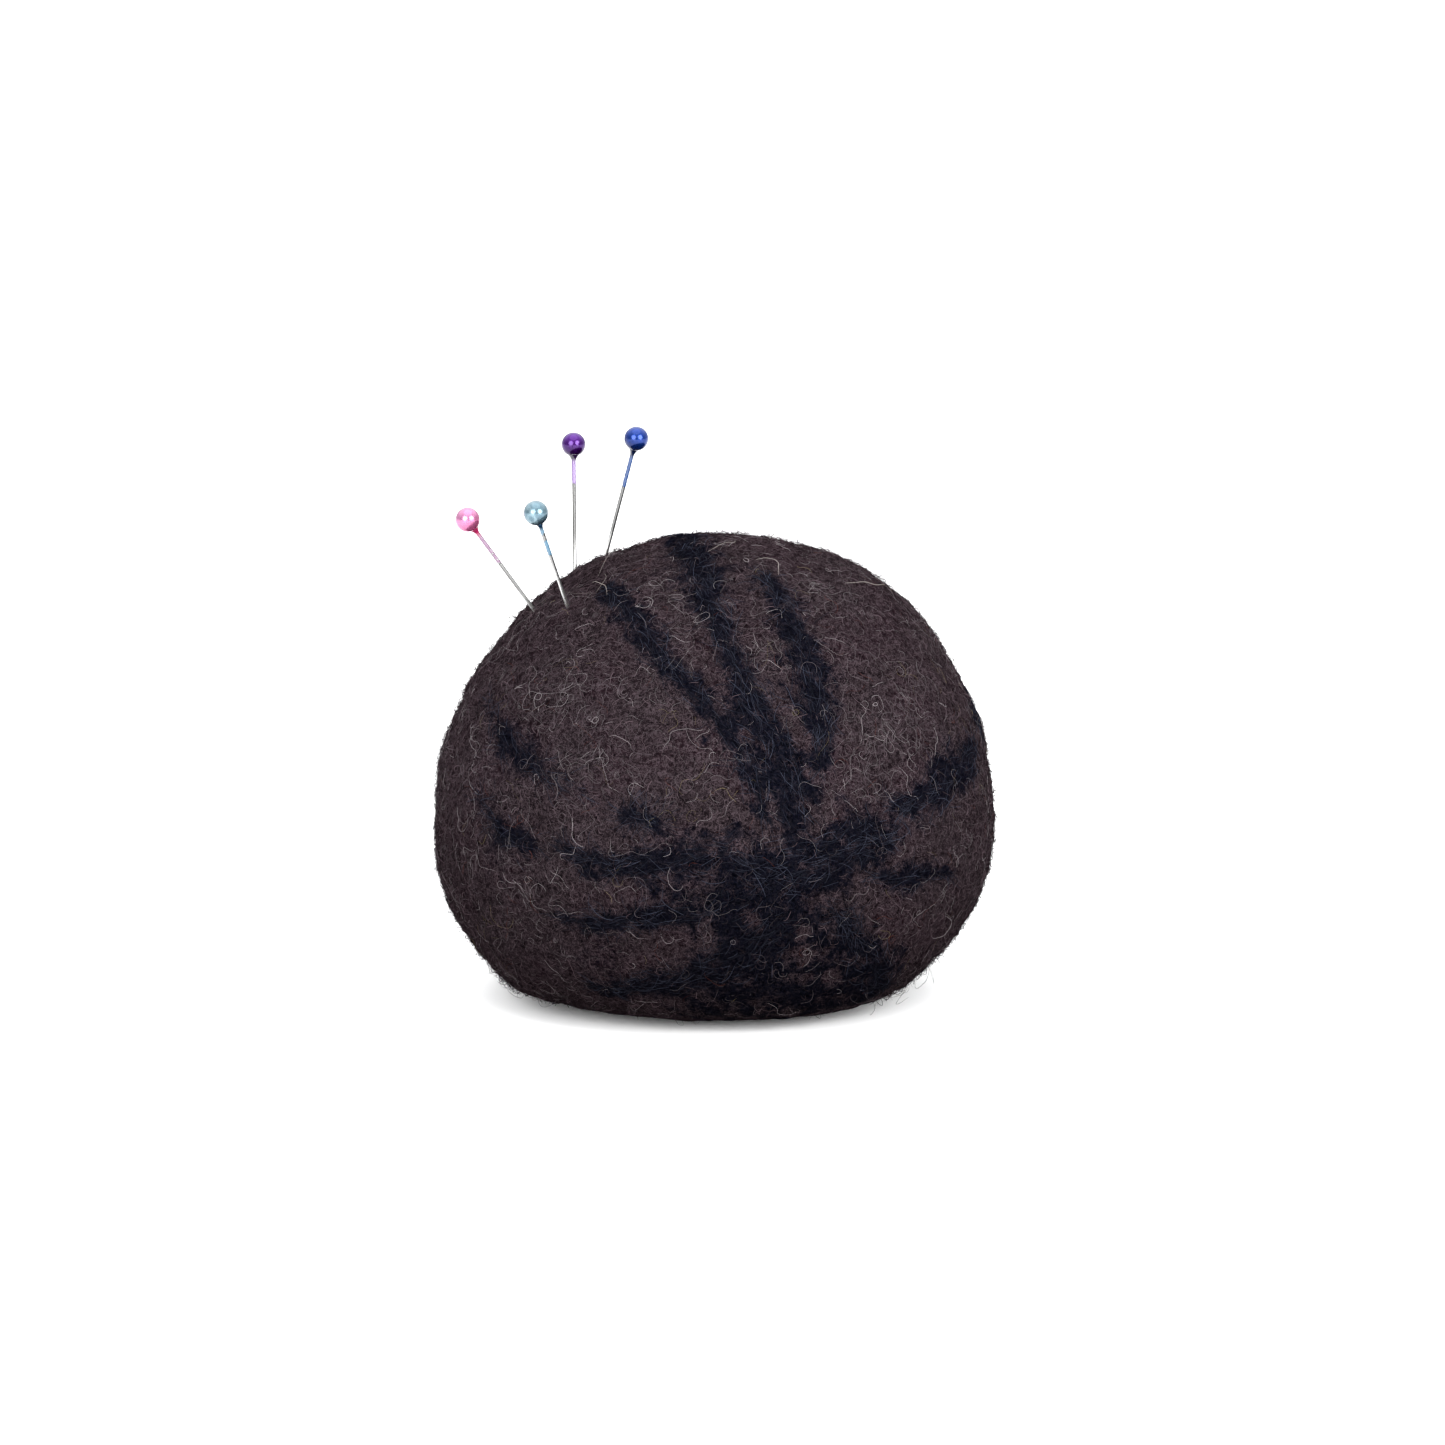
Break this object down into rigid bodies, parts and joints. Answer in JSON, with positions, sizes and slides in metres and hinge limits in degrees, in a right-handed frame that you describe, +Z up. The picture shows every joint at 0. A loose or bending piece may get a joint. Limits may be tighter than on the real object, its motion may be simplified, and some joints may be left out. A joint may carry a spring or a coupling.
{
  "type": "pin cushion",
  "caption": "Round wet-felted wool pin cushion with a flattened base, dark wisps felted into its surface and pearl-headed dressmaking pins that push in and pull out.",
  "frame": {"origin": "middle of the flat base, on the surface the cushion stands on", "axes": "+Z up, -Y towards the front, +X to the right as seen from the front"},
  "size_m": [0.092, 0.093, 0.0939],
  "materials": {
    "core_wool": "matte",
    "brown_felt": "matte",
    "black_wool": "matte",
    "pin_steel": "polished",
    "pearl_pink": "gloss",
    "pearl_light_blue": "gloss",
    "pearl_violet": "gloss",
    "pearl_blue": "gloss",
    "lacquer_pink": "gloss",
    "lacquer_light_blue": "gloss",
    "lacquer_violet": "gloss",
    "lacquer_blue": "gloss"
  },
  "bodies": {
    "cushion": {"wool_core": "core_wool", "felt_shell": "brown_felt", "black_wisp_junction": "black_wool", "black_wisp_crown_centre": "black_wool", "black_wisp_crown_left": "black_wool", "black_wisp_crown_right": "black_wool", "black_wisp_right_arm": "black_wool", "black_wisp_left_arm": "black_wool", "black_wisp_left_spot": "black_wool", "black_wisp_left_upper": "black_wool", "black_wisp_left_lower": "black_wool", "black_wisp_low_left": "black_wool", "black_wisp_low_middle": "black_wool", "black_wisp_low_right": "black_wool", "black_wisp_right_short": "black_wool", "black_wisp_right_side": "black_wool", "black_wisp_back_crown": "black_wool", "black_wisp_back_left": "black_wool", "black_wisp_back_right": "black_wool", "black_wisp_back_low": "black_wool"},
    "pink_pin": {"pink_pin_wire": "pin_steel", "pink_pin_bead": "pearl_pink", "pink_pin_collar": "lacquer_pink"},
    "light_blue_pin": {"light_blue_pin_wire": "pin_steel", "light_blue_pin_bead": "pearl_light_blue", "light_blue_pin_collar": "lacquer_light_blue"},
    "violet_pin": {"violet_pin_wire": "pin_steel", "violet_pin_bead": "pearl_violet", "violet_pin_collar": "lacquer_violet"},
    "blue_pin": {"blue_pin_wire": "pin_steel", "blue_pin_bead": "pearl_blue", "blue_pin_collar": "lacquer_blue"}
  },
  "joints": [
    {"name": "pink_pin_slide", "type": "slide", "parent": "cushion", "child": "pink_pin", "axis": [-0.559, -0.1816, 0.809], "range_m": [-0.0154, 0.022]},
    {"name": "light_blue_pin_slide", "type": "slide", "parent": "cushion", "child": "light_blue_pin", "axis": [-0.2625, -0.3892, 0.8829], "range_m": [-0.0151, 0.0223]},
    {"name": "violet_pin_slide", "type": "slide", "parent": "cushion", "child": "violet_pin", "axis": [-0.0144, 0.2753, 0.9613], "range_m": [-0.0178, 0.0196]},
    {"name": "blue_pin_slide", "type": "slide", "parent": "cushion", "child": "blue_pin", "axis": [0.2498, -0.1165, 0.9613], "range_m": [-0.0172, 0.0202]}
  ]
}
